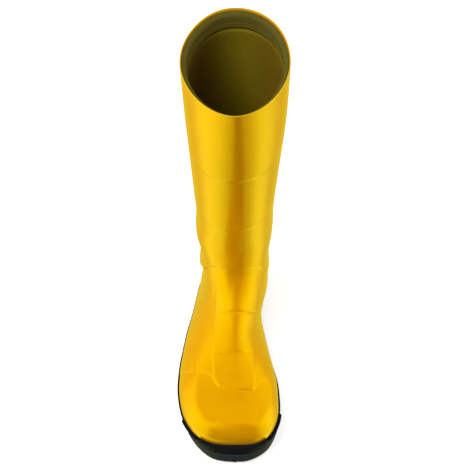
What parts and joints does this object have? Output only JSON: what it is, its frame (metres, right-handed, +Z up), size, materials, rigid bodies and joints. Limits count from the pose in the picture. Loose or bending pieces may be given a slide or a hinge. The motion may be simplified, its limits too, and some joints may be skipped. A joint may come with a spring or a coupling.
{
  "type": "safety wellington boot",
  "caption": "Right-foot knee-length moulded wellington with a reinforced toe, a knitted lining, a removable footbed and a cleated black sole.",
  "frame": {"origin": "on the ground, under the middle of the boot's bounding box", "axes": "+Z up along the shaft, -Y towards the toe, +X towards the inner (big-toe) side of the foot"},
  "size_m": [0.1262, 0.3096, 0.4091],
  "materials": {
    "upper_yellow": "satin to glossy moulded polyurethane, saturated yellow",
    "sole_black": "matt black moulded sole wall and toe bumper",
    "tread_black": "matt black-grey tread",
    "lining_knit": "fine knitted lining, dark olive",
    "cuff_hem": "doubled knitted hem with a row of stitches",
    "cap_steel": "pressed and lacquered steel",
    "strip_plastic": "soft extruded strip",
    "board_fibre": "pressed fibre board",
    "footbed_foam": "open-cell foam",
    "footbed_felt": "needled felt",
    "heel_gel": "soft translucent gel",
    "core_cork": "light cellular filler"
  },
  "bodies": {
    "boot": {"upper_shell": "upper_yellow", "midsole_rand": "sole_black", "outsole_tread": "tread_black", "lining_sock": "lining_knit", "lining_cuff": "cuff_hem", "steel_toe_cap": "cap_steel", "toe_cap_edge_strip": "strip_plastic", "insole_board": "board_fibre", "penetration_plate": "cap_steel", "arch_shank": "cap_steel", "heel_core": "core_cork"},
    "footbed": {"footbed_foam": "footbed_foam", "footbed_cover": "footbed_felt", "footbed_heel_pad": "heel_gel"}
  },
  "joints": [
    {"name": "footbed_lift", "type": "hinge", "parent": "boot", "child": "footbed", "pos_m": [0, -0.13205, 0.0291], "axis": [1, 0, 0], "range_deg": [0, 6]}
  ]
}
